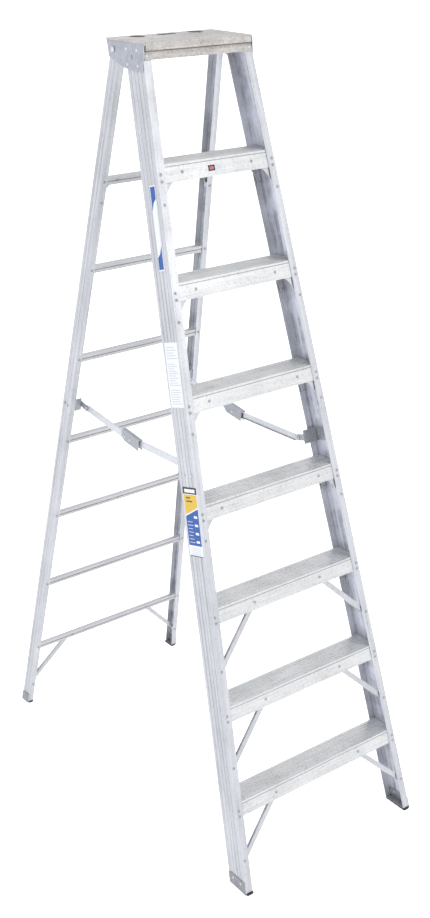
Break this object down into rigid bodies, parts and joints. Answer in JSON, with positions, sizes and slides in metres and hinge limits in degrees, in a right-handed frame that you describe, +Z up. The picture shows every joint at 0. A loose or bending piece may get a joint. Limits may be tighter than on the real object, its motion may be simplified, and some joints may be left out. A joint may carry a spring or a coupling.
{
  "type": "step ladder",
  "caption": "Free-standing folding aluminium step ladder: ribbed treads between channel rails, top cap with tool holes, braced rear frame, folding spreaders and padded feet.",
  "frame": {"origin": "on the floor, under the middle of the opened ladder's outer box", "axes": "+Z up; the steps and the climber's side face -Y; X across the ladder"},
  "size_m": [0.7118, 1.3844, 2.33],
  "materials": {
    "mill_aluminium": "mill finish, fluted, with faint lengthwise streaks",
    "tread_aluminium": "mill finish, ribbed on top",
    "bar_aluminium": "mill finish",
    "brace_aluminium": "mill finish, pressed",
    "cap_aluminium": "weathered, warm grey, streaked",
    "galvanised_steel": "galvanised, spangled",
    "arm_steel": "bright zinc",
    "rivet": "satin",
    "zinc_fastener": "zinc plated",
    "spacer_plastic": "natural nylon",
    "pad_rubber": "matt, ribbed underneath",
    "label": "printed film, without lettering"
  },
  "bodies": {
    "front_section": {"cap_front_band": "cap_aluminium", "front_boot_left": "galvanised_steel", "front_boot_right": "galvanised_steel", "front_braces_left": "brace_aluminium", "front_braces_right": "brace_aluminium", "front_gussets": "brace_aluminium", "front_pads": "pad_rubber", "front_rail_left": "mill_aluminium", "front_rail_right": "mill_aluminium", "front_rivets": "rivet", "front_spreader_bracket_left": "galvanised_steel", "front_spreader_bracket_right": "galvanised_steel", "labels": "label", "pivot_bolts": "zinc_fastener", "pivot_nuts": "zinc_fastener", "pivot_spacers": "spacer_plastic", "rear_gussets": "brace_aluminium", "side_plate_left": "galvanised_steel", "side_plate_right": "galvanised_steel", "spreader_front_pins": "zinc_fastener", "stay_rivets": "rivet", "step_1": "tread_aluminium", "step_2": "tread_aluminium", "step_3": "tread_aluminium", "step_4": "tread_aluminium", "step_5": "tread_aluminium", "step_6": "tread_aluminium", "step_7": "tread_aluminium", "step_rivets": "rivet", "top_cap": "cap_aluminium"},
    "rear_section": {"rear_bar_1": "bar_aluminium", "rear_bar_2": "bar_aluminium", "rear_bar_3": "bar_aluminium", "rear_bar_4": "bar_aluminium", "rear_bar_5": "bar_aluminium", "rear_bar_6": "bar_aluminium", "rear_bar_7": "bar_aluminium", "rear_bar_gussets": "brace_aluminium", "rear_boot_left": "galvanised_steel", "rear_boot_right": "galvanised_steel", "rear_brace_left": "brace_aluminium", "rear_brace_right": "brace_aluminium", "rear_pads": "pad_rubber", "rear_rail_left": "mill_aluminium", "rear_rail_right": "mill_aluminium", "rear_rivets": "rivet", "rear_spreader_bracket_left": "galvanised_steel", "rear_spreader_bracket_right": "galvanised_steel", "spreader_rear_pins": "zinc_fastener"},
    "left_front_arm": {"spreader_front_arm_left": "arm_steel", "spreader_front_arm_pin_left": "zinc_fastener"},
    "left_rear_arm": {"spreader_rear_arm_left": "arm_steel", "spreader_hood_left": "galvanised_steel", "spreader_rear_arm_pins_left": "zinc_fastener"},
    "right_front_arm": {"spreader_front_arm_right": "arm_steel", "spreader_front_arm_pin_right": "zinc_fastener"},
    "right_rear_arm": {"spreader_rear_arm_right": "arm_steel", "spreader_hood_right": "galvanised_steel", "spreader_rear_arm_pins_right": "zinc_fastener"}
  },
  "joints": [
    {"name": "fold", "type": "hinge", "parent": "front_section", "child": "rear_section", "pos_m": [0, 0.14191, 2.304], "axis": [-1, 0, 0], "range_deg": [0, 29.7]},
    {"name": "left_front_pivot", "type": "hinge", "parent": "front_section", "child": "left_front_arm", "pos_m": [-0.2005, -0.22231, 1.22572], "axis": [1, 0, 0], "range_deg": [0, 75.1]},
    {"name": "left_rear_pivot", "type": "hinge", "parent": "rear_section", "child": "left_rear_arm", "pos_m": [-0.2068, 0.33225, 1.24839], "axis": [-1, 0, 0], "range_deg": [0, 87.6]},
    {"name": "right_front_pivot", "type": "hinge", "parent": "front_section", "child": "right_front_arm", "pos_m": [0.2005, -0.22231, 1.22572], "axis": [1, 0, 0], "range_deg": [0, 75.1]},
    {"name": "right_rear_pivot", "type": "hinge", "parent": "rear_section", "child": "right_rear_arm", "pos_m": [0.2068, 0.33225, 1.24839], "axis": [-1, 0, 0], "range_deg": [0, 87.6]}
  ],
  "couplings": [
    {"joint": "left_front_pivot", "follows": "fold", "ratio": 2.5248},
    {"joint": "left_rear_pivot", "follows": "fold", "ratio": 2.9456},
    {"joint": "right_front_pivot", "follows": "fold", "ratio": 2.5248},
    {"joint": "right_rear_pivot", "follows": "fold", "ratio": 2.9456}
  ]
}
